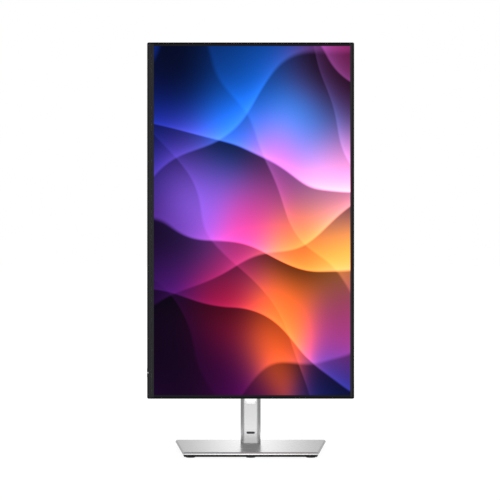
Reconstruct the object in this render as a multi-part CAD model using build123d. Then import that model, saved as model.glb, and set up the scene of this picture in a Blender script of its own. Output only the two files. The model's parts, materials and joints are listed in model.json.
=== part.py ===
from build123d import *
import os

# Desktop computer monitor on a height, tilt, swivel and pivot stand. Millimetres.
# Origin at the centre of the base footprint on the desk.
# +Z up, +X to the viewer's right, the screen faces -Y.
# Head pieces are drawn in landscape about the pivot axis: u (along X) to the right,
# y to the back, v (along Z) up. on_head() turns them to portrait, so v points to +X.

# ---------------------------------------------------------------- driving dimensions
BASE_W_FRONT = 203.0
BASE_W_BACK = 239.0
BASE_D = 178.0
BASE_R_FRONT = 4.0
BASE_R_BACK = 5.0
BASE_TOP_Z = 8.6
BASE_SPLIT_Z = 5.0    # between bottom and top plate
BASE_CHAMFER = 2.2
BOTTOM_INSET = 3.0
FOOT_H = 1.3
FOOT_R = 7.0
FOOT_SPOTS = [(-89.6, -78.0), (0.0, -78.0), (89.6, -78.0), (-103.0, 72.0), (103.0, 72.0)]
BASE_SCREWS = [(-84, -52), (84, -52), (-94, 38), (94, 38), (-46, -74), (46, -74)]
SWIVEL_SEAT_R = 29.0  # round opening for the swivel hub flange
SPINDLE_R = 15.0      # swivel hub neck
LOCK_R = 3.0          # shank of the lock screw
BAIL_Z = 3.0
BAIL_R = 0.6
BAIL_X = 7.0

COL_Y = 56.0          # riser and swivel axis
COL_W = 31.2
COL_D = 40.0
COL_R = 6.8
COL_Z0 = 8.9
COL_TOP = 345.0
COL_FRONT = COL_Y - COL_D / 2
COL_BACK = COL_Y + COL_D / 2
CORE_HALF_W = 13.0    # inner column
CORE_HALF_D = 17.4
CORE_R = 4.0
SHELL_GAP = 0.05      # between inner column and shells
SLOT_Z = 183.0        # lower end of the slot the lift arm runs in
SLOT_HALF_W = 7.0
HOLE_W = 17.8         # cable opening
HOLE_Z0 = 70.0
HOLE_Z1 = 120.0
HOLE_R = 4.0
RISER_SCREW_XS = (-6.5, 6.5)
RISER_SCREW_Z = 18
SPRING_Y = 60.0       # lift spring axis
SPRING_Z = 318.0
SPRING_R = 11.0

HEAD_Z = 353.5        # pivot and tilt height with the stand fully raised
TILT_Y = 22.0
ARM_HALF_W = 6.5

PANEL_W = 538.0       # landscape width
PANEL_H = 312.5       # landscape height
PANEL_R = 2.4
FRONT_Y = -46.0
SEAM_Y = -37.0        # bezel meets rear cover
RIM_T = 1.6
EDGE_BACK_Y = -35.0
BULGE_BACK_Y = 1.0
BULGE_HALF_W = 160
BULGE_V0 = -142
BULGE_V1 = 80
BULGE_WALL = 2.4
BULGE_TAPER = 21.25
RECESS_HALF = 66.0    # square recess around the stand coupling
RECESS_FLOOR_Y = -5.0
RECESS_WALL = 2
BAY_HALF_W = 115      # port bay, open downwards
BAY_V = -112.0
BAY_FLOOR_Y = -27.5
VESA = 100.0
VESA_BORE_R = 2.0
VESA_SPOTS = [(u, v) for u in (-VESA / 2, VESA / 2) for v in (-VESA / 2, VESA / 2)]
COVER_SCREWS = [(-128, 40), (128, 40), (-128, -92), (128, -92)]
VIDEO_US = (-100.0, -76.0)
DATA_US = (-53.0, -35.0, -17.0)
SHEET_Y0 = -39.9      # chassis sheet, front and back faces
SHEET_Y1 = -38.9
BOARD_Y0 = -28.1      # circuit boards, front and back faces
BOARD_Y1 = -26.5
MERGE = 0.05          # overlap that joins raised parts to their plate
JOY_U, JOY_V = 222.0, -125.0
GIMBAL_Y = -36.2
BTN_U = 229.7


# ---------------------------------------------------------------- helpers
def box(x0, x1, y0, y1, z0, z1):
    return Pos((x0 + x1) / 2, (y0 + y1) / 2, (z0 + z1) / 2) * Box(x1 - x0, y1 - y0, z1 - z0)


def cyl_x(x0, x1, y, z, r):
    return Pos((x0 + x1) / 2, y, z) * Rot(0, 90, 0) * Cylinder(r, x1 - x0)


def cyl_y(y0, y1, x, z, r):
    return Pos(x, (y0 + y1) / 2, z) * Rot(90, 0, 0) * Cylinder(r, y1 - y0)


def cyl_z(z0, z1, x, y, r):
    return Pos(x, y, (z0 + z1) / 2) * Cylinder(r, z1 - z0)


def slab_y(x0, x1, z0, z1, r, y0, y1, taper=0.0):
    """Rounded rectangle in XZ, extruded from y0 to y1."""
    prism = extrude(RectangleRounded(x1 - x0, z1 - z0, r), amount=y1 - y0, taper=taper)
    return Rot(-90, 0, 0) * (Pos((x0 + x1) / 2, -(z0 + z1) / 2, y0) * prism)


def slab_z(x0, x1, y0, y1, r, z0, z1):
    """Rounded rectangle in XY, extruded from z0 to z1."""
    prism = extrude(RectangleRounded(x1 - x0, y1 - y0, r), amount=z1 - z0)
    return Pos((x0 + x1) / 2, (y0 + y1) / 2, z0) * prism


def wedge(half_w, *points):
    """Polygon of (y, z) points, extruded across x = -half_w to half_w."""
    face = make_face(Polyline(*points, close=True))
    return Pos(-half_w, 0, 0) * extrude(Plane.YZ * face, amount=2 * half_w)


def coil(radius, wire, pitch, length):
    """Open helical spring along +Z from 0."""
    path = Helix(pitch=pitch, height=length, radius=radius)
    plane = Plane(origin=path @ 0, z_dir=path % 0)
    return sweep(plane * Circle(wire / 2), path=path)


def span(side, near, far):
    """Interval near..far on the side +1 or -1 of zero, in rising order."""
    return sorted((side * near, side * far))


def row(count, pitch):
    """Evenly spaced positions centred on zero."""
    return [(i - (count - 1) / 2) * pitch for i in range(count)]


def group(shapes):
    return Compound([solid for shape in shapes for solid in shape.solids()])


def on_head(shape):
    return Pos(0, 0, HEAD_Z) * Rot(0, 90, 0) * shape


# ---------------------------------------------------------------- base
def footprint():
    half_f, half_b, half_d = BASE_W_FRONT / 2, BASE_W_BACK / 2, BASE_D / 2
    corners = ((-half_f, -half_d), (half_f, -half_d), (half_b, half_d), (-half_b, half_d))
    face = make_face(Polyline(*corners, close=True))
    face = fillet(face.vertices().sort_by(Axis.Y)[:2], BASE_R_FRONT)
    back = [v for v in face.vertices() if v.Y > half_d - 1]
    return fillet(back, BASE_R_BACK)


def base_top_plate():
    plate = Pos(0, 0, BASE_SPLIT_Z) * extrude(footprint(), amount=BASE_TOP_Z - BASE_SPLIT_Z)
    plate = chamfer(plate.edges().group_by(Axis.Z)[-1], BASE_CHAMFER)
    plate -= cyl_z(0, 10, 0, COL_Y, SPINDLE_R + 0.05)
    plate -= cyl_z(4.0, BASE_SPLIT_Z + 0.95, 0, COL_Y, SWIVEL_SEAT_R)
    for x, y in BASE_SCREWS:
        plate -= cyl_z(4.0, 7.4, x, y, 2.0)
    return plate


def base_bottom_plate():
    outline = offset(footprint(), amount=-BOTTOM_INSET)
    plate = Pos(0, 0, FOOT_H) * extrude(outline, amount=BASE_SPLIT_Z - FOOT_H)
    plate -= cyl_z(0, 6, 0, COL_Y, SWIVEL_SEAT_R)
    for x, y in FOOT_SPOTS:
        plate -= cyl_z(1.0, 2.9, x, y, 6.0)
    for x, y in BASE_SCREWS:
        plate -= cyl_z(1.0, 5.5, x, y, 2.1)
        plate -= Pos(x, y, 2.2) * Cone(3.9, 2.1, 1.8)
    return plate


def base_feet():
    feet = []
    for x, y in FOOT_SPOTS:
        pad = cyl_z(0, FOOT_H, x, y, FOOT_R)
        pad = chamfer(pad.edges().group_by(Axis.Z)[0], 0.15)
        feet.append(pad + cyl_z(FOOT_H - MERGE, 2.8, x, y, 5.95))
    return group(feet)


def base_plate_screws():
    """Countersunk screws with a cross recess, heads down."""
    screws = []
    for x, y in BASE_SCREWS:
        screw = Pos(x, y, 2.25) * Cone(3.75, 2.0, 1.7) + cyl_z(3.0, 7.2, x, y, 1.98)
        screw -= box(x - 2.6, x + 2.6, y - 0.4, y + 0.4, 1.3, 2.0)
        screw -= box(x - 0.4, x + 0.4, y - 2.6, y + 2.6, 1.3, 2.0)
        screws.append(screw)
    return group(screws)


def swivel_bearing_ring():
    ring = cyl_z(BASE_SPLIT_Z + 0.02, BASE_SPLIT_Z + 0.9, 0, COL_Y, SWIVEL_SEAT_R - 0.2)
    return ring - cyl_z(4, 7, 0, COL_Y, SPINDLE_R + 0.3)


def swivel_hub():
    hub = cyl_z(2.4, BASE_SPLIT_Z - 0.03, 0, COL_Y, SWIVEL_SEAT_R - 1)
    hub += cyl_z(4.9, COL_Z0, 0, COL_Y, SPINDLE_R)
    hub -= cyl_z(2.0, 6.0, 0, COL_Y, 12.2)
    hub -= cyl_z(5.5, 10, 0, COL_Y, LOCK_R + 0.3)
    return hub


def lock_screw():
    """Screw from under the base, with two lugs for its folding bail."""
    screw = cyl_z(4.0, 5.45, 0, COL_Y, 11.0) + cyl_z(5.4, 24.0, 0, COL_Y, LOCK_R)
    for x in (-9.3, 7.7):
        screw += box(x, x + 1.6, COL_Y - 1.4, COL_Y + 1.4, 2.0, 4.1)
    return screw - cyl_x(-12, 12, COL_Y, BAIL_Z, BAIL_R + 0.05)


def lock_ring():
    """Folding bail: half a ring with straight legs and pivot pins."""
    arc_y = COL_Y + 1.6
    start = (BAIL_X, arc_y, BAIL_Z)
    arc = Edge.make_three_point_arc(start, (0, arc_y + BAIL_X, BAIL_Z), (-BAIL_X, arc_y, BAIL_Z))
    bail = sweep(Plane(origin=start, z_dir=(0, 1, 0)) * Circle(BAIL_R), path=Wire([arc]))
    for side in (1, -1):
        bail += cyl_y(COL_Y - 0.2, arc_y, BAIL_X * side, BAIL_Z, BAIL_R)
        bail += cyl_x(*span(side, 6.4, 9.2), COL_Y, BAIL_Z, BAIL_R)
    return bail


# ---------------------------------------------------------------- riser
def column_slab(half_w, half_d, r, z0, z1):
    return slab_z(-half_w, half_w, COL_Y - half_d, COL_Y + half_d, r, z0, z1)


def cable_slot(margin, y0, y1):
    """Cable opening grown all round by margin."""
    half_w = HOLE_W / 2 + margin
    return slab_y(-half_w, half_w, HOLE_Z0 - margin, HOLE_Z1 + margin, HOLE_R + margin, y0, y1)


def arm_slot():
    return box(-SLOT_HALF_W, SLOT_HALF_W, 34, 41, SLOT_Z, COL_TOP + 2)


def riser_shell():
    outer = column_slab(COL_W / 2, COL_D / 2, COL_R, COL_Z0, COL_TOP)
    hollow = column_slab(CORE_HALF_W + SHELL_GAP, CORE_HALF_D + SHELL_GAP, CORE_R + SHELL_GAP,
                         COL_Z0 - 1, COL_TOP + 1)
    return outer - hollow - cable_slot(1.05, 30, 80)


def riser_front_shell():
    return (riser_shell() & box(-20, 20, 30, 57.92, 0, 360)) - arm_slot()


def riser_rear_shell():
    shell = riser_shell() & box(-20, 20, 58.08, 80, 0, 360)
    for x in RISER_SCREW_XS:
        shell -= cyl_y(70, 80, x, RISER_SCREW_Z, 2.1)
    return shell


def riser_column():
    column = column_slab(CORE_HALF_W, CORE_HALF_D, CORE_R, COL_Z0 + 0.1, COL_TOP - 2)
    column -= column_slab(CORE_HALF_W - 1.5, CORE_HALF_D - 1.5, 1.0, 0, COL_TOP + 1)
    column -= cable_slot(1.05, 30, 80)
    column -= arm_slot()
    for x in RISER_SCREW_XS:
        column -= cyl_y(70, 80, x, RISER_SCREW_Z, 2.1)
    for x in (-12.5, 12.5):
        column -= cyl_x(x - 2, x + 2, SPRING_Y, SPRING_Z, 3.0)
    return column


def riser_foot_bracket():
    foot = column_slab(11.4, 15.8, 2.4, COL_Z0 + 0.1, 27.0)
    foot -= cyl_z(0, 30, 0, COL_Y, LOCK_R + 0.05)
    for x in RISER_SCREW_XS:
        foot -= cyl_y(61, 80, x, RISER_SCREW_Z, 2.0)
    return foot


def riser_screws():
    screws = []
    for x in RISER_SCREW_XS:
        screw = cyl_y(61.5, COL_BACK + 0.1, x, RISER_SCREW_Z, 1.98)
        screw += cyl_y(COL_BACK + 0.02, 78.0, x, RISER_SCREW_Z, 3.6)
        screws.append(screw - cyl_y(77.0, 79, x, RISER_SCREW_Z, 1.6))
    return group(screws)


def cable_slot_liner():
    return cable_slot(1.0, COL_FRONT + 0.1, COL_BACK - 0.1) - cable_slot(0, 30, 80)


def riser_badge():
    return slab_y(-6.5, 6.5, 23.2, 26.8, 1.75, COL_FRONT - 0.5, COL_FRONT)


def riser_top_cap():
    cap = column_slab(COL_W / 2, COL_D / 2, COL_R, COL_TOP, COL_TOP + 2.5)
    cap = chamfer(cap.edges().group_by(Axis.Z)[-1], 0.8)
    cap -= box(-9.7, 9.7, 40.0, 48.3, 340, 350)   # carriage passage
    cap -= box(-7.4, 7.4, 34, 41, 340, 350)       # arm passage
    return cap


def spring_axle():
    return cyl_x(-12.9, 12.9, SPRING_Y, SPRING_Z, 2.98)


def lift_spring_coil():
    """Wound strip as a solid drum with a hub at each end."""
    bore_r = 3.04
    drum = cyl_x(-8, 8, SPRING_Y, SPRING_Z, SPRING_R) - cyl_x(-9, 9, SPRING_Y, SPRING_Z, bore_r)
    for side in (-1, 1):
        drum += cyl_x(*span(side, 8.0, 9.2), SPRING_Y, SPRING_Z, 5.2)
    return drum - cyl_x(-12, 12, SPRING_Y, SPRING_Z, bore_r)


def lift_spring_strip():
    """Straight run down from the drum, with a short lip at its lower end."""
    back_y = SPRING_Y - SPRING_R - 0.02
    run = box(-7.5, 7.5, 48.75, back_y, 283.0, SPRING_Z)
    return run + box(-7.5, 7.5, 47.7, back_y, 282.77, 283.0)


# ---------------------------------------------------------------- lift and tilt
def lift_carriage():
    carriage = slab_z(-9.1, 9.1, 40.6, 47.5, 1.5, 275.0, 385.0)
    carriage = chamfer(carriage.edges().group_by(Axis.Z)[-1], 0.8)
    carriage += box(-8.0, 8.0, 47.4, 52.0, 276.0, 282.7)
    for z in (342.0, 365.0):
        carriage -= cyl_y(40, 44.5, 0, z, 2.0)
    return carriage


def slider_pads():
    return group([box(*span(side, 9.12, 11.42), 41.4, 46.6, z, z + 13.0)
                  for side in (1, -1) for z in (278.0, 326.0)])


def lift_arm():
    arm = box(-ARM_HALF_W, ARM_HALF_W, 26.0, 40.58, 336.0, 371.0)
    arm = fillet(arm.edges().filter_by(Axis.X).group_by(Axis.Y)[0], 6.0)
    arm += cyl_x(-9.5, 9.5, TILT_Y, HEAD_Z, 9.0)
    arm += box(-ARM_HALF_W, ARM_HALF_W, TILT_Y, 30, HEAD_Z - 8.9, HEAD_Z + 8.9)
    arm -= cyl_x(-10, 10, TILT_Y, HEAD_Z, 4.0)
    return arm


def tilt_shaft():
    shaft = cyl_x(-23.5, 23.5, TILT_Y, HEAD_Z, 3.99)
    for side in (-1, 1):
        shaft += cyl_x(*span(side, 23.2, 24.8), TILT_Y, HEAD_Z, 7.0)
    return shaft


def hinge_cover():
    cover = cyl_x(-27.0, 27.0, TILT_Y, HEAD_Z, 13.4) - cyl_x(-25.2, 25.2, TILT_Y, HEAD_Z, 12.0)
    cover -= box(-25.2, 25.2, 0, 20.0, 300, 400)
    cover -= box(-6.6, 6.6, 20, 40, 330, 380)
    # the arm gap parts the cover in two; only the last by volume is kept
    return cover.solids().sort_by(SortBy.VOLUME)[-1]


def tilt_bracket():
    """Round plate with two ears reaching back to the tilt shaft."""
    bracket = cyl_y(4.0, 8.0, 0, HEAD_Z, 24.0)
    for side in (1, -1):
        x0, x1 = span(side, 10.0, 13.0)
        bracket += box(x0, x1, 7.9, TILT_Y, HEAD_Z - 8, HEAD_Z + 8)
        bracket += cyl_x(x0, x1, TILT_Y, HEAD_Z, 8.0)
    bracket -= cyl_y(0, 9, 0, HEAD_Z, 7.05)
    bracket -= cyl_x(-15, 15, TILT_Y, HEAD_Z, 4.05)
    return bracket


def tilt_springs():
    length = 7.0
    spring = coil(radius=5.6, wire=1.5, pitch=1.75, length=length)
    return group([Pos(x, TILT_Y, HEAD_Z) * Rot(0, 90, 0) * spring
                  for x in (14.3, -14.3 - length)])


# ---------------------------------------------------------------- head: stand coupling
def mount_plate():
    """Plate with two upper hooks, a lower tab and the stepped pivot boss."""
    plate = slab_y(-42, 42, -58, 58, 6.0, -4.8, -1.8)
    for side in (1, -1):
        plate += box(*span(side, 18, 32), -4.8, -3.4, 57.5, 69.0)
    plate += box(-15, 15, -4.8, -3.6, -61.0, -57.5)
    for y0, y1, r in ((-2.0, 3.0, 22.0), (2.9, 8.25, 6.98), (8.2, 12.0, 5.0)):
        plate += cyl_y(y0, y1, 0, 0, r)
    return plate


def pivot_washer():
    return cyl_y(3.04, 3.96, 0, 0, 20.0) - cyl_y(3, 4, 0, 0, 7.2)


def pivot_nut():
    nut = Rot(-90, 0, 0) * (Pos(0, 0, 8.3) * extrude(RegularPolygon(8.0, 6), amount=3.8))
    return nut - cyl_y(8, 13, 0, 0, 5.02)


def release_latch():
    latch = box(-12, 12, -3.4, -1.6, -71.9, -59.0) + box(-9, 9, -9.0, -1.6, -71.9, -70.0)
    latch += box(-9, 9, -9.0, -6.0, -92.0, -70.5)
    latch -= box(-3.3, 3.3, -10, -5, -85.0, -76.5)
    latch += wedge(3.3, (-6.0, -85.0), (-9.0, -85.0), (-9.0, -82.0))
    return latch


def release_button():
    button = slab_y(-10, 10, -86, -76, 4.99, -1.4, 1.6)
    button = fillet(button.edges().group_by(Axis.Y)[-1], 0.5)
    button += slab_y(-11.5, 11.5, -87.3, -75.2, 5.5, -3.0, -1.35)
    stem = box(-3, 3, -8.5, -2.9, -84.5, -80.5)
    stem -= wedge(4, (-5.5, -84.6), (-8.6, -84.6), (-8.6, -81.4))
    return button + stem


def latch_spring():
    return Pos(0, -7.5, -103.1) * coil(radius=2.2, wire=0.6, pitch=1.5, length=10.7)


# ---------------------------------------------------------------- head: rear cover
def panel_slab(inset, r, y0, y1):
    half_w, half_h = PANEL_W / 2 - inset, PANEL_H / 2 - inset
    return slab_y(-half_w, half_w, -half_h, half_h, r, y0, y1)


def bulge(inset, r, y0, y1):
    half_w = BULGE_HALF_W - inset
    return slab_y(-half_w, half_w, BULGE_V0 + inset, BULGE_V1 - inset, r, y0, y1, BULGE_TAPER)


def bay(wall, r):
    half_w = BAY_HALF_W + wall
    return slab_y(-half_w, half_w, -170 - wall, BAY_V + wall, r, BAY_FLOOR_Y - wall, 20 + wall)


def recess(wall, r):
    half = RECESS_HALF + wall
    return slab_y(-half, half, -half, half, r, RECESS_FLOOR_Y - wall, 20 + wall)


def cover_shell():
    """Hollow shell with the bay and the recess let into it."""
    bulge_outer = bulge(0, 26.0, EDGE_BACK_Y - 0.5, BULGE_BACK_Y)
    bulge_outer = fillet(bulge_outer.edges().group_by(Axis.Y)[-1], 4.0)
    shell = panel_slab(0, PANEL_R, SEAM_Y, EDGE_BACK_Y)
    shell = fillet(shell.edges().group_by(Axis.Y)[-1], 1.2)
    shell += bulge_outer
    # cone around the joystick, narrowing to the back
    y0, y1 = EDGE_BACK_Y - 0.5, -29.5
    shell += Pos(JOY_U, (y0 + y1) / 2, JOY_V) * Rot(-90, 0, 0) * Cone(18.3, 15.0, y1 - y0)
    cavity = bulge(BULGE_WALL, 24.0, -37.5, BULGE_BACK_Y - 2.2)
    shell -= cavity - bay(2, 4.0) - recess(RECESS_WALL, 9.0)
    shell -= bay(0, 3.0)
    shell -= recess(0, 8.0)
    return shell


def rear_cover():
    cover = cover_shell()
    for u, v in COVER_SCREWS:
        cover += cyl_y(-12.0, -1.0, u, v, 5.5)
        cover -= cyl_y(-10.0, 3.0, u, v, 3.6)
        cover -= cyl_y(-13.0, -9.0, u, v, 1.7)
    # vents in the landscape upper wall of the bulge
    for u in row(31, 7):
        cover -= slab_z(u - 1.2, u + 1.2, -27, -9, 1.15, 58, 92)
    # recess: VESA holes, slots for the plate hooks and the latch, button opening
    for u, v in VESA_SPOTS:
        cover -= cyl_y(-9, -4, u, v, 4.6)
    for side in (1, -1):
        cover -= box(*span(side, 17.6, 32.4), -4.95, -3.2, 64, 71)
    cover -= box(-12.3, 12.3, -3.7, -1.3, -70.5, -64)
    cover -= slab_y(-10.3, 10.3, -86.3, -75.7, 5.25, -5, 5)
    cover += box(-4, 4, -9.4, -1.0, -106.0, -103.5)   # block below the latch spring
    # joystick well
    cover -= cyl_y(-38, -31.4, JOY_U, JOY_V, 12.5)
    cover -= cyl_y(-38, -28, JOY_U, JOY_V, 8.0)
    # security slot
    cover -= slab_y(-131.5, -124.5, -61.5, -58.5, 1.4, -3, 3)
    # port openings in the bay wall
    for u in VIDEO_US:
        cover -= box(u - 8.1, u + 8.1, -26.7, -20.3, -113, -109)
    for u in DATA_US:
        cover -= box(u - 7.1, u + 7.1, -26.7, -18.9, -113, -109)
    cover -= box(68.7, 97.3, -25.8, -4.2, -113, -109)
    return cover


def cover_screws():
    return group([
        (cyl_y(-9.9, -7.9, u, v, 2.8) + cyl_y(-24.0, -9.8, u, v, 1.48)) - cyl_y(-8.9, -7, u, v, 1.2)
        for u, v in COVER_SCREWS])


def rear_label():
    return slab_y(-122, -74, -20, 12, 1.0, BULGE_BACK_Y, BULGE_BACK_Y + 0.15)


# ---------------------------------------------------------------- head: display stack
def bezel_frame():
    bezel = panel_slab(0, PANEL_R, FRONT_Y, SEAM_Y)
    bezel = fillet(bezel.edges().group_by(Axis.Y)[0], 0.5)
    bezel -= panel_slab(RIM_T, 1.0, FRONT_Y - 1, -36)
    ledge = panel_slab(1.0, 1.0, -39.9, -38.9)
    ledge -= box(-260, 260, -41, -38, -170, 147)
    ledge -= box(-300, 300, -41, -38, -170, -146)
    bezel += ledge
    # openings for the power button and its light
    bezel -= slab_z(BTN_U - 7.2, BTN_U + 7.2, -43.2, -39.8, 1.6, -160, -153)
    bezel -= box(BTN_U - 1.0, BTN_U + 1.0, -47, -45.0, -160, -154.4)
    return bezel


def chin_strip():
    return slab_y(-267.4, 267.4, -154.4, -149.95, 1.1, -45.95, -44.6)


def lcd_glass():
    return box(-266.9, 266.9, -45.6, -44.4, -149.8, 153.9)


def optical_films():
    return group([box(-263.8, 263.8, -44.3, -43.5, -147.2, 152.3),
                  box(-263.6, 263.6, -41.2, -40.9, -147.2, 152.3)])


def light_guide():
    return box(-263.4, 263.4, -43.4, -41.3, -147.2, 152.2)


def led_bar():
    bar = box(-258, 258, -43.3, -41.0, -149.3, -148.3)
    for u in row(43, 12):
        bar += box(u - 2, u + 2, -43.1, -41.5, -148.35, -147.5)
    return bar


def panel_tray():
    tray = box(-265, 265, -43.9, -40.0, -150.3, 153.5)
    return tray - box(-264.2, 264.2, -45, -40.8, -149.5, 152.7)


def driver_board():
    board = box(-210, 195, -39.8, -38.8, -149.0, -138.0)
    for u in (-160, -100, 0, 90):
        board += box(u - 12, u + 12, -38.85, -38.0, -143.5, -139.5)
    return board


def flex_tails():
    """Strips folded around the lower edge of the tray."""
    tails = []
    for u in (-190, -65, 60, 170):
        u0, u1 = u - 14, u + 14
        tail = box(u0, u1, -44.35, -44.2, -151.8, -149.85)
        tail += box(u0, u1, -44.35, -38.6, -151.8, -151.6)
        tail += box(u0, u1, -38.78, -38.6, -151.8, -145.0)
        tails.append(tail)
    return group(tails)


# ---------------------------------------------------------------- head: electronics
def board_chassis():
    """Sheet with VESA, cover screw and board posts, and a wall by the security slot."""
    post_y = SHEET_Y1 - MERGE
    chassis = slab_y(-158, 158, -136, 76, 10.0, SHEET_Y0, SHEET_Y1)
    for u, v in VESA_SPOTS:
        chassis += cyl_y(post_y, -7.1, u, v, 6.5)
        chassis -= cyl_y(-17.0, -6, u, v, 4.5)
    for u, v in COVER_SCREWS:
        chassis += cyl_y(post_y, -12.1, u, v, 4.0)
        chassis -= cyl_y(-26.0, -11, u, v, 1.5)
    for u in (-12, -112, 12, 112):
        for v in (-102, -37):
            chassis += cyl_y(post_y, BOARD_Y0, u, v, 2.6)
    chassis += box(-131.5, -124.5, post_y, -7.0, -66.5, -64.5)
    return chassis


def vesa_inserts():
    return group([cyl_y(-16.98, RECESS_FLOOR_Y, u, v, 4.49) - cyl_y(-20, 0, u, v, VESA_BORE_R)
                  for u, v in VESA_SPOTS])


def circuit_board(side, blocks):
    """Board on one side, cleared around the VESA post; blocks: (u0, u1, back y, v0, v1)."""
    board = box(*span(side, 6, 118), BOARD_Y0, BOARD_Y1, -109.5, -30)
    board -= cyl_y(-30, -20, side * VESA / 2, -VESA / 2, 8.0)
    for u0, u1, back_y, v0, v1 in blocks:
        board += box(u0, u1, BOARD_Y1 - MERGE, back_y, v0, v1)
    return board


def main_board():
    return circuit_board(-1, [(-90, -72, -24.0, -88, -70), (-40, -26, -24.5, -82, -70),
                              (-110, -100, -23.0, -60, -40), (-30, -14, -22.0, -52, -44)])


def power_board():
    board = circuit_board(1, [(66, 92, -14.5, -74, -50), (98, 102, -14.5, -90, -50),
                              (48, 60, -16.0, -96, -84)])
    for u, v in ((22, -60), (34, -80), (22, -80)):
        board += cyl_y(BOARD_Y1 - MERGE, -15.0, u, v, 5.0)
    return board


def board_shield():
    shield = box(-121, 121, -38.85, -12.5, -109.0, -26.0)
    shield -= box(-120.2, 120.2, -40, -13.3, -120.0, -26.8)
    for u in (-VESA / 2, VESA / 2):
        shield -= cyl_y(-20, -10, u, -VESA / 2, 8.0)
    shield -= box(67.5, 98.5, -20, -10.0, -115, -89.5)
    return shield


def video_ports():
    ports = []
    for u in VIDEO_US:
        port = slab_z(u - 7.9, u + 7.9, -26.4, -20.6, 1.4, -112.6, -100.0)
        port -= slab_z(u - 7.3, u + 7.3, -25.8, -21.2, 1.0, -113, -101.0)
        port += box(u - 5.5, u + 5.5, -24.0, -22.8, -111.6, -100.5)
        ports.append(port)
    return group(ports)


def data_ports():
    ports = []
    for u in DATA_US:
        port = slab_z(u - 6.9, u + 6.9, -26.4, -19.1, 0.6, -112.6, -98.0)
        port -= slab_z(u - 6.3, u + 6.3, -25.6, -19.9, 0.4, -113, -99.0)
        port += box(u - 5.6, u + 5.6, -24.6, -22.6, -112.0, -98.5)
        ports.append(port)
    return group(ports)


def ac_inlet():
    inlet = slab_z(69, 97, -25.5, -4.5, 2.0, -114.0, -91.0)
    return inlet - slab_z(71, 95, -23.4, -7.4, 3.0, -115, -98.0)


def inlet_pins():
    return group([box(u - 1.0, u + 1.0, y - 2.0, y + 2.0, -110.0, -98.0)
                  for u, y in ((76.0, -17.0), (83.0, -12.5), (90.0, -17.0))])


# ---------------------------------------------------------------- head: controls
def button_board():
    board = box(208, 242, -39.8, -38.9, -148.9, -112.0)
    board += box(BTN_U - 3.5, BTN_U + 3.5, -39.8, -38.9, -152.1, -148.8)
    board += box(BTN_U - 3, BTN_U + 3, -42.4, -39.7, -152.1, -150.6)
    return board


def power_button():
    button = slab_z(BTN_U - 7.0, BTN_U + 7.0, -43.0, -40.0, 1.45, -156.6, -154.0)
    return button + box(BTN_U - 8.0, BTN_U + 8.0, -43.5, -39.95, -154.4, -153.2)


def power_led_lens():
    return box(BTN_U - 0.95, BTN_U + 0.95, FRONT_Y, -45.05, -156.1, -154.5)


def joystick_switch():
    switch = box(JOY_U - 5, JOY_U + 5, -38.88, -34.6, JOY_V - 5, JOY_V + 5)
    switch -= cyl_y(-38.2, -34, JOY_U, JOY_V, 3.7)
    switch -= cyl_x(JOY_U - 4.5, JOY_U + 4.5, GIMBAL_Y, JOY_V, 0.42)
    return switch


def joystick_gimbal():
    gimbal = cyl_y(-36.7, -35.7, JOY_U, JOY_V, 3.3) - cyl_y(-37, -35, JOY_U, JOY_V, 2.3)
    gimbal += cyl_x(JOY_U - 4.4, JOY_U - 3.2, GIMBAL_Y, JOY_V, 0.36)
    gimbal += cyl_x(JOY_U + 3.2, JOY_U + 4.4, GIMBAL_Y, JOY_V, 0.36)
    gimbal -= cyl_z(JOY_V - 4, JOY_V + 4, JOY_U, GIMBAL_Y, 0.42)
    return gimbal


def joystick_stem():
    stem = cyl_y(-37.5, -30.2, JOY_U, JOY_V, 1.4)
    return stem + cyl_z(JOY_V - 3.0, JOY_V + 3.0, JOY_U, GIMBAL_Y, 0.36)


def joystick_cap():
    cap = cyl_y(-31.2, -28.6, JOY_U, JOY_V, 5.5)
    cap = fillet(cap.edges().group_by(Axis.Y)[-1], 0.8)
    return cap - cyl_y(-32, -29.6, JOY_U, JOY_V, 1.45)


# ---------------------------------------------------------------- export
STAND_PIECES = [
    base_top_plate, base_bottom_plate, base_feet, base_plate_screws, swivel_bearing_ring,
    swivel_hub, riser_front_shell, riser_rear_shell, riser_column, riser_foot_bracket,
    riser_screws, cable_slot_liner, riser_badge, riser_top_cap, spring_axle,
    lift_spring_coil, lift_spring_strip, lock_screw, lock_ring, lift_carriage,
    slider_pads, lift_arm, tilt_shaft, hinge_cover, tilt_bracket, tilt_springs]
HEAD_PIECES = [
    mount_plate, pivot_washer, pivot_nut, release_latch, release_button, latch_spring,
    rear_cover, cover_screws, rear_label, bezel_frame, chin_strip, lcd_glass,
    optical_films, light_guide, led_bar, panel_tray, driver_board, flex_tails,
    board_chassis, vesa_inserts, main_board, power_board, board_shield, video_ports,
    data_ports, ac_inlet, inlet_pins, button_board, power_button, power_led_lens,
    joystick_switch, joystick_gimbal, joystick_stem, joystick_cap]

os.makedirs("parts", exist_ok=True)
for piece in STAND_PIECES:
    export_step(piece(), f"parts/{piece.__name__}.step")
for piece in HEAD_PIECES:
    export_step(on_head(piece()), f"parts/{piece.__name__}.step")
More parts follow.
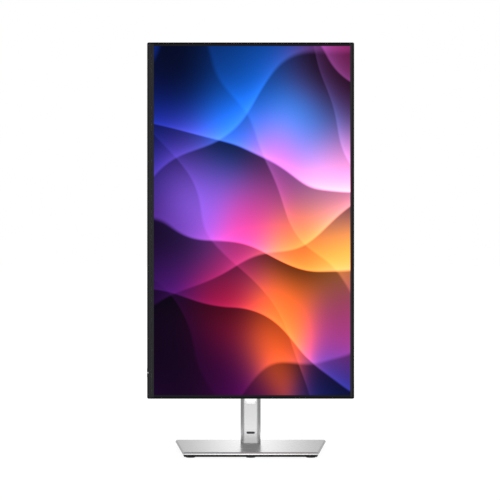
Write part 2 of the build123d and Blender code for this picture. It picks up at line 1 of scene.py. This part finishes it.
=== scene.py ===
"""Looks and stage for a desktop monitor on a riser and base.

Metres, +Z up. The screen faces -Y and rests in portrait: its long side runs along Z and
its short side along X. Left and right are as seen from the front, so left is -X.
"""
import json
import math
import bpy
import bmesh
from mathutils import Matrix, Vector


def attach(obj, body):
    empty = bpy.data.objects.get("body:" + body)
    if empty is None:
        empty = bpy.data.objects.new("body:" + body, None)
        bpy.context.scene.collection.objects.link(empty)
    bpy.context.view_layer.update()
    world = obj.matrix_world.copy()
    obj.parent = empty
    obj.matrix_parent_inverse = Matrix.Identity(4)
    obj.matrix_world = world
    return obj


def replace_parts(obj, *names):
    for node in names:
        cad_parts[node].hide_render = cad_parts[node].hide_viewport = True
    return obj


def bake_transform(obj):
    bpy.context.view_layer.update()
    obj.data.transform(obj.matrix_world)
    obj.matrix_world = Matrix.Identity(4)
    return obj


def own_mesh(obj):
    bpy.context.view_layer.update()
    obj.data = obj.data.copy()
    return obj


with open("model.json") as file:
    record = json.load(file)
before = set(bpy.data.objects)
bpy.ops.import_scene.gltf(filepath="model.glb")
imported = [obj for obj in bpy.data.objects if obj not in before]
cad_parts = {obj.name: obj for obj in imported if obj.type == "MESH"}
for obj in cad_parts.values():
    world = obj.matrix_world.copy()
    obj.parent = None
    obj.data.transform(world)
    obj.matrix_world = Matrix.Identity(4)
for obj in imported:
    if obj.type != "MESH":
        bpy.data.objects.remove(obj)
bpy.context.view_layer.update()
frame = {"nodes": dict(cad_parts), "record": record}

NODES = frame["nodes"]
SLOTS = {part["node"]: part["material_slot"] for part in frame["record"]["subparts"]}

# The lit area of the screen
HEAD_Z = 0.3535
PICTURE_X = 0.00215
PICTURE_Y = -0.04563
PICTURE_WIDTH = 0.29646
PICTURE_HEIGHT = 0.52704
PICTURE_LEFT = PICTURE_X - PICTURE_WIDTH / 2
PICTURE_RIGHT = PICTURE_X + PICTURE_WIDTH / 2
PICTURE_BOTTOM = HEAD_Z - PICTURE_HEIGHT / 2
PICTURE_TOP = HEAD_Z + PICTURE_HEIGHT / 2

UPRIGHT = (math.radians(90), 0, 0)   # turns a flat plane to face -Y
WHITE = (1, 1, 1, 1)


# ------------------------------------------------------------------ shader formulas
class Field:
    """A node output that can be used in formulas; new nodes go into Field.tree."""

    tree = None

    def __init__(self, socket):
        self.socket = socket


class Value(Field):
    """A number that varies over the surface."""

    def __add__(self, other):
        return math_node("ADD", self, other)

    def __radd__(self, other):
        return math_node("ADD", other, self)

    def __sub__(self, other):
        return math_node("SUBTRACT", self, other)

    def __rsub__(self, other):
        return math_node("SUBTRACT", other, self)

    def __mul__(self, other):
        return math_node("MULTIPLY", self, other)

    def __truediv__(self, other):
        return math_node("DIVIDE", self, other)


class Colour(Field):
    """A linear RGB colour that varies over the surface."""

    def __add__(self, other):
        return colour_math("ADD", self, other)

    def __mul__(self, other):
        if isinstance(other, Value):
            return scaled(self, other)
        return colour_math("MULTIPLY", self, (other,) * 3)


def add_node(kind, **settings):
    node = Field.tree.nodes.new(kind)
    for name, setting in settings.items():
        setattr(node, name, setting)
    return node


def plug(source, socket):
    """Link a field or an output to a socket, or set the socket to a constant."""
    if isinstance(source, Field):
        source = source.socket
    if isinstance(source, bpy.types.NodeSocket):
        Field.tree.links.new(source, socket)
    else:
        socket.default_value = source


def set_inputs(node, sources):
    for key, source in sources.items():
        plug(source, node.inputs[key])


def plug_in_order(node, *sources):
    set_inputs(node, dict(enumerate(sources)))


def math_node(kind, *terms, clamp=False):
    node = add_node("ShaderNodeMath", operation=kind, use_clamp=clamp)
    plug_in_order(node, *terms)
    return Value(node.outputs[0])


def colour_math(kind, first, second):
    node = add_node("ShaderNodeVectorMath", operation=kind)
    plug_in_order(node, first, second)
    return Colour(node.outputs[0])


def scaled(colour, factor):
    node = add_node("ShaderNodeVectorMath", operation="SCALE")
    set_inputs(node, {0: colour, 3: factor})
    return Colour(node.outputs[0])


def mixed(first, second, factor):
    node = add_node("ShaderNodeMix", data_type="VECTOR", factor_mode="UNIFORM")
    set_inputs(node, {0: factor, 4: first, 5: second})
    return Colour(node.outputs[1])


def smooth(value, start, end):
    """0 below start, 1 above end, with an eased step between."""
    node = add_node("ShaderNodeMapRange", interpolation_type="SMOOTHSTEP")
    plug_in_order(node, value, start, end, 0.0, 1.0)
    return Value(node.outputs[0])


def absolute(value):
    return math_node("ABSOLUTE", value)


def bell(distance_squared, width):
    """A soft bump: 1 at the centre, fading over width."""
    return math_node("EXPONENT", distance_squared * (-1.0 / (width * width)))


def coordinates(kind, output):
    """The x, y and z of a vector output of a new node."""
    source = add_node(kind)
    split = add_node("ShaderNodeSeparateXYZ")
    plug(source.outputs[output], split.inputs[0])
    return [Value(axis) for axis in split.outputs]


def noise(scale, detail, rough, stretch=(1, 1, 1), distortion=0.0):
    position = add_node("ShaderNodeTexCoord")
    mapping = add_node("ShaderNodeMapping")
    set_inputs(mapping, {"Vector": position.outputs["Object"], "Scale": stretch})
    texture = add_node("ShaderNodeTexNoise")
    set_inputs(texture, {"Scale": scale, "Detail": detail, "Roughness": rough,
                         "Distortion": distortion, "Vector": mapping.outputs[0]})
    return Value(texture.outputs["Fac"])


# ------------------------------------------------------------------ materials
def new_tree(owner, output_kind):
    """Empty the owner's node tree, make it current, and return its output's surface socket."""
    owner.use_nodes = True
    Field.tree = owner.node_tree
    Field.tree.nodes.clear()
    return add_node(output_kind).inputs[0]


def new_material(name):
    material = bpy.data.materials.new(name)
    return material, new_tree(material, "ShaderNodeOutputMaterial")


def principled_material(name):
    material, surface = new_material(name)
    shader = add_node("ShaderNodeBsdfPrincipled")
    plug(shader.outputs[0], surface)
    return material, shader


def finish(name, rgb, rough, metal, drift, grain, bump, bump_mm, rough_var,
           stretch=(1, 1, 1), coat=0.0, spec=0.5, wear=0.0):
    """A finish with colour drift, fine grain in roughness and relief, and a little wear."""
    material, shader = principled_material(name)
    broad = noise(scale=9.0, detail=4.0, rough=0.6, distortion=0.3)
    fine = noise(scale=grain, detail=2.0, rough=0.5, stretch=stretch)

    contrast = 1.4
    blend = math_node("ADD", (broad - 0.5) * contrast + 0.5, 0.0, clamp=True)
    dark = tuple(c * (1 - drift) for c in rgb)
    light = tuple(min(1.0, c * (1 + drift)) for c in rgb)
    colour = mixed(dark, light, blend)
    fine_drift = drift * 0.8
    colour = colour * (1.0 - fine_drift * 0.5 + fine * fine_drift)

    roughness = math_node("ADD", rough - rough_var * 0.5, fine * rough_var, clamp=True)
    if wear > 0:
        # smudges, slightly darker and rougher
        smudge = smooth(noise(scale=26.0, detail=5.0, rough=0.65, distortion=1.2),
                        start=0.55, end=0.75)
        colour = mixed(colour, tuple(c * 0.86 for c in rgb), smudge * wear)
        roughness = roughness + smudge * (wear * 0.12)
    else:
        roughness = roughness + (broad - 0.5) * (rough_var * 0.5)

    set_inputs(shader, {"Base Color": colour, "Roughness": roughness, "Metallic": metal,
                        "Specular IOR Level": spec, "Coat Weight": coat,
                        "Coat Roughness": 0.1})
    if bump > 0:
        relief = add_node("ShaderNodeBump")
        set_inputs(relief, {"Strength": bump, "Distance": bump_mm / 1000.0, "Height": fine})
        plug(relief.outputs[0], shader.inputs["Normal"])
    return material


def border_finish(name):
    """The screen's printed border: black, greyer to the left and right of the picture."""
    material, shader = principled_material(name)
    edge_blur = 0.0004
    x = coordinates("ShaderNodeTexCoord", "Object")[0]
    left = 1.0 - smooth(x, start=PICTURE_LEFT - edge_blur, end=PICTURE_LEFT)
    right = smooth(x, start=PICTURE_RIGHT, end=PICTURE_RIGHT + edge_blur)
    fine = noise(scale=1200.0, detail=2.0, rough=0.5)
    colour = mixed((0.0070, 0.0070, 0.0090), (0.0250, 0.0250, 0.0280), left + right)
    colour = colour * (0.96 + fine * 0.08)
    set_inputs(shader, {"Base Color": colour, "Roughness": fine * 0.04 + 0.32,
                        "Specular IOR Level": 0.13})
    return material


FINISHES = [
    ("silver_paint", (0.80, 0.80, 0.805), 0.21, 1.0, 0.02, 2600, 0, 0, 0.02, dict(wear=0.08)),
    ("base_paint", (0.86, 0.86, 0.865), 0.27, 1.0, 0.012, 1800, 0, 0, 0.012,
     dict(stretch=(0.12, 1, 1), wear=0.08)),
    ("silver_plastic", (0.62, 0.625, 0.64), 0.36, 0.55, 0.03, 2200, 0.08, 0.015, 0.08, {}),
    ("rear_plastic", (0.46, 0.465, 0.48), 0.46, 0.25, 0.035, 1500, 0.35, 0.04, 0.12,
     dict(wear=0.25)),
    ("black_plastic", (0.022, 0.022, 0.026), 0.42, 0.0, 0.15, 1400, 0.2, 0.03, 0.10, {}),
    ("chin_plastic", (0.0115, 0.0118, 0.0140), 0.42, 0.0, 0.08, 1600, 0, 0, 0.03,
     dict(spec=0.33)),
    ("rim_plastic", (0.0045, 0.0045, 0.0065), 0.42, 0.0, 0.12, 1600, 0, 0, 0.03,
     dict(spec=0.10)),
    ("panel_black", (0.008, 0.008, 0.0105), 0.32, 0.0, 0.1, 1200, 0.03, 0.01, 0.06,
     dict(spec=0.14)),
    ("black_steel", (0.011, 0.011, 0.012), 0.55, 0.0, 0.2, 1100, 0.2, 0.03, 0.10,
     dict(spec=0.14)),
    ("steel", (0.50, 0.505, 0.52), 0.30, 1.0, 0.06, 700, 0.12, 0.02, 0.14,
     dict(stretch=(1, 1, 0.04), wear=0.2)),
    ("zinc_steel", (0.60, 0.60, 0.58), 0.34, 1.0, 0.10, 300, 0.08, 0.02, 0.14, dict(wear=0.2)),
    ("spring_steel", (0.22, 0.23, 0.26), 0.30, 1.0, 0.08, 900, 0.1, 0.02, 0.12,
     dict(stretch=(1, 0.1, 1))),
    ("chrome", (0.075, 0.075, 0.08), 0.22, 1.0, 0.02, 500, 0.02, 0.005, 0.04, {}),
    ("cast_alloy", (0.48, 0.485, 0.50), 0.44, 0.9, 0.06, 800, 0.5, 0.05, 0.14, dict(wear=0.2)),
    ("white_plastic", (0.80, 0.80, 0.77), 0.38, 0.0, 0.03, 700, 0.05, 0.02, 0.08, {}),
    ("rubber", (0.0055, 0.0055, 0.0055), 0.78, 0.0, 0.25, 1200, 0.5, 0.05, 0.14,
     dict(spec=0.06)),
    ("clear_plastic", (0.75, 0.80, 0.86), 0.16, 0.0, 0.04, 300, 0.02, 0.01, 0.05, {}),
    ("circuit_green", (0.018, 0.13, 0.06), 0.36, 0.0, 0.2, 450, 0.4, 0.03, 0.12,
     dict(coat=0.3)),
    ("amber_film", (0.45, 0.20, 0.03), 0.30, 0.0, 0.08, 500, 0.05, 0.01, 0.08, dict(coat=0.3)),
    ("brass", (0.72, 0.53, 0.22), 0.28, 1.0, 0.07, 600, 0.1, 0.02, 0.12, {}),
    ("label_grey", (0.50, 0.50, 0.50), 0.34, 0.1, 0.03, 1200, 0.05, 0.01, 0.08,
     dict(coat=0.2)),
    ("liner_silver", (0.88, 0.88, 0.885), 0.24, 1.0, 0.015, 2200, 0, 0, 0.02, {}),
    ("joystick_rubber", (0.03, 0.03, 0.032), 0.6, 0.0, 0.2, 1500, 0.5, 0.05, 0.12, {}),
]
MATERIALS = {row[0]: finish(*row[:-1], **row[-1]) for row in FINISHES}
MATERIALS["panel_border"] = border_finish("panel_border")

# Parts whose finish differs from their recorded slot
FINISH_OVERRIDES = {
    "base_top_plate": "base_paint", "riser_badge": "chrome", "lcd_glass": "panel_border",
    "bezel_frame": "rim_plastic", "chin_strip": "chin_plastic",
    "joystick_cap": "joystick_rubber", "cable_slot_liner": "liner_silver",
}


def dress_parts():
    finish_names = {**SLOTS, **FINISH_OVERRIDES}
    for name, part in NODES.items():
        material = MATERIALS.get(finish_names.get(name), MATERIALS["black_plastic"])
        if not part.material_slots:
            part.data.materials.append(material)
        for slot in part.material_slots:
            slot.link = "DATA"
            slot.material = material


dress_parts()

# ------------------------------------------------------------------ the picture on the screen
# Soft patches of light: x and y (0 to 1 from the bottom left), radius, RGB
PATCHES = [
    (0.08, 0.95, 0.20, (0.001, 0.010, 0.110)),
    (0.48, 0.96, 0.18, (0.002, 0.060, 0.340)),
    (0.92, 0.94, 0.15, (0.120, 0.006, 0.050)),
    (0.12, 0.74, 0.17, (0.006, 0.014, 0.230)),
    (0.44, 0.74, 0.15, (0.010, 0.170, 0.900)),
    (0.78, 0.76, 0.14, (0.020, 0.280, 1.000)),
    (0.66, 0.64, 0.11, (0.720, 0.080, 0.420)),
    (0.95, 0.62, 0.12, (1.000, 0.300, 0.680)),
    (0.24, 0.58, 0.13, (0.240, 0.090, 0.640)),
    (0.06, 0.40, 0.15, (0.040, 0.006, 0.120)),
    (0.48, 0.49, 0.12, (0.560, 0.030, 0.200)),
    (0.72, 0.40, 0.12, (1.150, 0.210, 0.030)),
    (0.95, 0.44, 0.13, (1.200, 0.420, 0.030)),
    (0.34, 0.27, 0.13, (0.300, 0.005, 0.035)),
    (0.08, 0.14, 0.17, (0.030, 0.000, 0.060)),
    (0.62, 0.19, 0.12, (1.050, 0.130, 0.020)),
    (0.95, 0.22, 0.12, (0.380, 0.035, 0.180)),
    (0.90, 0.04, 0.12, (0.003, 0.020, 0.200)),
    (0.38, 0.02, 0.12, (0.045, 0.000, 0.055)),
]
PATCH_STRETCH_X, PATCH_STRETCH_Y = 1.25, 1.0
PATCH_FLOOR = 1e-5   # keeps the sum of weights above zero


def picture_warp(x, y):
    """Three slow noise fields, centred on 0, that bend the picture plane."""
    texture = add_node("ShaderNodeTexNoise")
    set_inputs(texture, {"Scale": 1.15, "Detail": 1.0, "Roughness": 0.4})
    point = add_node("ShaderNodeCombineXYZ")
    noise_slice = 3.7
    plug_in_order(point, x, y, noise_slice)
    plug(point.outputs[0], texture.inputs["Vector"])
    first = Value(texture.outputs["Fac"]) - 0.5
    split = add_node("ShaderNodeSeparateColor")
    plug(texture.outputs["Color"], split.inputs[0])
    return first, Value(split.outputs[1]) - 0.5, Value(split.outputs[2]) - 0.5


def patch_field(x, y):
    """The patch colours, averaged by their closeness to x, y."""
    colour_sum, weight_sum = None, None
    for patch_x, patch_y, radius, rgb in PATCHES:
        dx = (x - patch_x) * (1.0 / PATCH_STRETCH_X)
        dy = (y - patch_y) * (1.0 / PATCH_STRETCH_Y)
        weight = bell(dx * dx + dy * dy, radius) + PATCH_FLOOR
        colour = scaled(rgb, weight)
        colour_sum = colour if colour_sum is None else colour_sum + colour
        weight_sum = weight if weight_sum is None else weight_sum + weight
    return colour_sum * math_node("DIVIDE", 1.0, weight_sum)


def picture_material():
    material, shader = principled_material("picture_light")
    across, _, up = coordinates("ShaderNodeTexCoord", "Object")
    # both run from 0 to 1; tall_y is y in units of the picture's width
    x = (across - PICTURE_LEFT) * (1.0 / PICTURE_WIDTH)
    y = (up - PICTURE_BOTTOM) * (1.0 / PICTURE_HEIGHT)
    tall_y = y * (PICTURE_HEIGHT / PICTURE_WIDTH)
    warp_1, warp_2, warp_3 = picture_warp(x, tall_y)
    field = patch_field(x + warp_1 * 0.22, y + warp_2 * 0.16)

    def fold(direction, count, bend, phase, sharp):
        """Repeated folds along a direction: their fading body and their bright rim."""
        ripple = math_node("SINE", x * 3.1 + tall_y * 1.7 + phase)
        along = (x * direction[0] + tall_y * direction[1] + warp_1 * bend
                 + warp_3 * (bend * 0.6) + ripple * 0.05)
        part = math_node("FRACT", along * count + phase)
        edge = smooth(part, start=0.0, end=0.035)
        body = math_node("POWER", 1.0 - part, sharp)
        rim = math_node("EXPONENT", part * -20.0)
        return body * edge, rim * edge

    body_1, rim_1 = fold(direction=(0.34, 0.94), count=2.1, bend=0.95, phase=0.15, sharp=1.6)
    body_2, rim_2 = fold(direction=(-0.55, 0.83), count=1.6, bend=0.85, phase=0.57, sharp=1.9)
    body_3, rim_3 = fold(direction=(0.80, 0.45), count=2.7, bend=0.55, phase=0.33, sharp=2.2)
    # weights of the folds over a dim base; the first two brighten where they overlap
    light = 0.07 + body_1 * 1.10 + body_2 * 0.58 + body_3 * 0.26 + body_1 * body_2 * 0.35
    rims = rim_1 * 0.48 + rim_2 * 0.30 + rim_3 * 0.12
    colour = field * light
    # the rims are brighter than the field, with a trace of blue
    rim_colour = field * 1.9 + colour_math("ADD", (0.002, 0.003, 0.010), (0.0, 0.0, 0.0))
    colour = colour * 1.35 + rim_colour * rims
    # darker towards the lower left
    corner_shade = smooth(x * 0.75 + y * 0.8, start=0.06, end=0.60) * 0.80 + 0.20
    colour = colour * corner_shade

    fine = noise(scale=1600.0, detail=1.0, rough=0.5)
    set_inputs(shader, {"Emission Color": colour, "Emission Strength": 1.0,
                        "Base Color": (0.0008, 0.0008, 0.001, 1),
                        "Roughness": fine * 0.10 + 0.32, "Specular IOR Level": 0.03})
    return material


def link_object(name, mesh):
    piece = bpy.data.objects.new(name, mesh)
    bpy.context.scene.collection.objects.link(piece)
    return piece


def picture_plane(name, material):
    mesh = bpy.data.meshes.new(name)
    shape = bmesh.new()
    corners = ((PICTURE_LEFT, PICTURE_TOP), (PICTURE_RIGHT, PICTURE_TOP),
               (PICTURE_RIGHT, PICTURE_BOTTOM), (PICTURE_LEFT, PICTURE_BOTTOM))
    face = shape.faces.new([shape.verts.new((x, PICTURE_Y, z)) for x, z in corners])
    face.normal_flip()   # to face -Y
    shape.to_mesh(mesh)
    shape.free()
    plane = link_object(name, mesh)
    mesh.materials.append(material)
    return plane


picture = picture_plane("picture_area", picture_material())
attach(picture, "head")


def spring_copy(node, name):
    source = NODES[node]
    mesh = source.data.copy()
    mesh.name = name
    spring = link_object(name, mesh)
    spring.matrix_world = source.matrix_world.copy()
    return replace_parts(spring, node)


coil = spring_copy("latch_spring", "latch_spring_soft")
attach(coil, "head")
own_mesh(coil)

ribbon = spring_copy("lift_spring_strip", "lift_spring_ribbon")
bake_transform(ribbon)


# ------------------------------------------------------------------ stage
def stage_plane(name, size, location, rotation=(0, 0, 0)):
    mesh = bpy.data.meshes.new(name)
    shape = bmesh.new()
    bmesh.ops.create_grid(shape, x_segments=1, y_segments=1, size=0.5)
    bmesh.ops.scale(shape, vec=(size[0], size[1], 1), verts=shape.verts)
    shape.to_mesh(mesh)
    shape.free()
    plane = bpy.data.objects.new(name, mesh)
    plane.location = location
    plane.rotation_euler = rotation
    bpy.context.scene.collection.objects.link(plane)
    return plane


def only_in_reflections(plane):
    plane.visible_camera = False
    plane.visible_diffuse = False
    plane.visible_shadow = False


def floor_material():
    """Pale to the camera; to other rays, a glow that shapes what the product reflects."""
    material, surface = new_material("floor_pale")
    shader = add_node("ShaderNodeBsdfPrincipled")
    colour = mixed((0.155, 0.155, 0.155), (0.165, 0.165, 0.165),
                   noise(scale=3.0, detail=2.0, rough=0.5))
    set_inputs(shader, {"Base Color": colour, "Roughness": 0.9, "Specular IOR Level": 0.0,
                        "Emission Color": WHITE})
    rays = add_node("ShaderNodeLightPath")
    glow = add_node("ShaderNodeEmission")

    centre_y = 0.056
    x, y, _ = coordinates("ShaderNodeNewGeometry", "Position")
    y = y - centre_y
    radius = math_node("POWER", x * x + y * y + 1e-6, 0.5)
    sides = (smooth(absolute(x) / radius, start=0.12, end=0.74)
             * smooth(radius, start=0.16, end=0.34))
    near = (1.0 - smooth(radius, start=0.20, end=0.34)) * bell(x * x, width=0.11)
    front = 1.0 - smooth(y, start=-0.45, end=-0.12)
    # dimmer in front, behind and at the sides; brighter close to the centre
    strength = ((0.96 - front * 0.07 - smooth(y, start=0.1, end=0.8) * 0.22)
                * (1.0 - sides * 0.69) + near * 0.80)
    set_inputs(glow, {"Color": WHITE, "Strength": strength})
    plug(0.90 + smooth(radius, start=0.3, end=3.0) * 0.10, shader.inputs["Emission Strength"])

    mix = add_node("ShaderNodeMixShader")
    plug_in_order(mix, rays.outputs["Is Camera Ray"], glow.outputs[0], shader.outputs[0])
    plug(mix.outputs[0], surface)
    return material


FLOOR_SIZE, FLOOR_Z = 60, -0.0004
floor = stage_plane("floor", (FLOOR_SIZE, FLOOR_SIZE), (0, 0, FLOOR_Z))
floor.data.materials.append(floor_material())


def lamp(name, location, target, size, power):
    """A soft rectangular light, hidden from the camera and from reflections."""
    light = bpy.data.lights.new(name, "AREA")
    light.shape = "RECTANGLE"
    light.size, light.size_y = size
    light.energy = power
    holder = bpy.data.objects.new(name, light)
    holder.location = location
    direction = Vector(target) - Vector(location)
    holder.rotation_euler = direction.to_track_quat("-Z", "Y").to_euler()
    bpy.context.scene.collection.objects.link(holder)
    holder.visible_camera = False
    holder.visible_glossy = False


# name, location, target, size, power (W)
LAMPS = [
    ("top_soft", (0, -0.3, 2.6), (0, 0, 0), (2.6, 2.6), 22),
    ("front_left", (-1.6, -2.2, 1.6), (0, 0, 0.3), (1.2, 1.6), 7),
    ("front_right", (1.6, -2.2, 1.6), (0, 0, 0.3), (1.2, 1.6), 7),
    ("back_fill", (0.3, 2.4, 1.8), (0, 0, 0.3), (1.8, 1.6), 26),
]
for row in LAMPS:
    lamp(*row)


def shade_flag_material():
    """A dim glow from the front, clear from behind; the base's top reflects it as a painted
    shade in front of the riser.
    """
    material, surface = new_material("shade_flag_dim")
    geometry = add_node("ShaderNodeNewGeometry")
    glow = add_node("ShaderNodeEmission")
    set_inputs(glow, {"Color": WHITE, "Strength": 0.20})
    clear = add_node("ShaderNodeBsdfTransparent")
    mix = add_node("ShaderNodeMixShader")
    plug_in_order(mix, geometry.outputs["Backfacing"], glow.outputs[0], clear.outputs[0])
    plug(mix.outputs[0], surface)
    return material


def world_points(name):
    part = NODES[name]
    return [part.matrix_world @ vertex.co for vertex in part.data.vertices]


# A dim flag just in front of the riser, standing over the base, hidden from the camera: it puts
# a painted shade, a dark reflection, into the base's top in front of the riser
FLAG_HEIGHT = 0.085
FLAG_WIDTH_SHARE = 0.96      # of the riser shell's width
FLAG_FRONT_GAP = 0.0012
FLAG_BASE_GAP = 0.0008
shell_points = world_points("riser_front_shell")
base_top = max(p.z for p in world_points("base_top_plate"))
shell_width = max(p.x for p in shell_points) - min(p.x for p in shell_points)
flag = stage_plane("riser_shade_flag", (shell_width * FLAG_WIDTH_SHARE, FLAG_HEIGHT),
                   (0, min(p.y for p in shell_points) - FLAG_FRONT_GAP,
                    base_top + FLAG_BASE_GAP + FLAG_HEIGHT / 2), UPRIGHT)
flag.data.materials.append(shade_flag_material())
only_in_reflections(flag)


def card_material():
    """A glow on the front side only, fading to the left and right, over clear."""
    material, surface = new_material("card_light")
    geometry = add_node("ShaderNodeNewGeometry")
    split = add_node("ShaderNodeSeparateXYZ")
    plug(geometry.outputs["Position"], split.inputs[0])
    x = Value(split.outputs[0])
    peak = 0.74
    strength = bell(x * x, width=0.100) * (1.0 - Value(geometry.outputs["Backfacing"])) * peak
    glow = add_node("ShaderNodeEmission")
    plug(strength, glow.inputs["Strength"])
    clear = add_node("ShaderNodeBsdfTransparent")
    both = add_node("ShaderNodeAddShader")
    plug_in_order(both, glow.outputs[0], clear.outputs[0])
    plug(both.outputs[0], surface)
    return material


# A card low behind the product; it stands on z = 0
CARD_WIDTH, CARD_HEIGHT, CARD_Y = 0.80, 0.24, 0.62
card = stage_plane("base_card", (CARD_WIDTH, CARD_HEIGHT), (0, CARD_Y, CARD_HEIGHT / 2), UPRIGHT)
card.data.materials.append(card_material())
only_in_reflections(card)


def build_world():
    """White to the camera; to other rays, a studio with darker sides."""
    world = bpy.data.worlds.new("studio")
    bpy.context.scene.world = world
    surface = new_tree(world, "ShaderNodeOutputWorld")
    backdrop = add_node("ShaderNodeBackground")
    set_inputs(backdrop, {"Color": WHITE, "Strength": 1.0})
    studio = add_node("ShaderNodeBackground")

    x, y, z = coordinates("ShaderNodeTexCoord", "Generated")
    horizon = 1.0 - smooth(absolute(z), start=0.16, end=0.42)
    sides = smooth(absolute(x), start=0.16, end=0.74) * horizon
    # a little dimmer at the back than at the front
    base = 0.74 - smooth(y, start=-0.3, end=0.6) * 0.15
    # a brighter band low in front
    front = ((1.0 - smooth(y, start=-0.55, end=-0.15)) * smooth(z, start=0.0, end=0.05)
             * (1.0 - smooth(z, start=0.30, end=0.55)))
    strength = base * (1.0 - sides * 0.70) * (1.0 + front * 0.34)
    overhead = smooth(z, start=0.55, end=0.90)
    overhead_strength = 0.36
    strength = strength * (1.0 - overhead) + overhead * overhead_strength
    plug(strength, studio.inputs["Strength"])

    rays = add_node("ShaderNodeLightPath")
    mix = add_node("ShaderNodeMixShader")
    plug_in_order(mix, rays.outputs["Is Camera Ray"], studio.outputs[0], backdrop.outputs[0])
    plug(mix.outputs[0], surface)


build_world()

scene = bpy.context.scene
scene.view_settings.view_transform = "Standard"
scene.view_settings.look = "None"
scene.view_settings.exposure = 0.0
scene.view_settings.gamma = 1.0

lens = bpy.data.cameras.new("view")
lens.lens = 128.6
lens.sensor_width = 36.0
lens.sensor_fit = "HORIZONTAL"
lens.clip_start = 0.05
lens.clip_end = 200.0
camera = link_object("view", lens)
camera.location = (-0.0010, -2.742, 0.3091)
camera.rotation_euler = UPRIGHT   # level, looking along +Y
scene.camera = camera
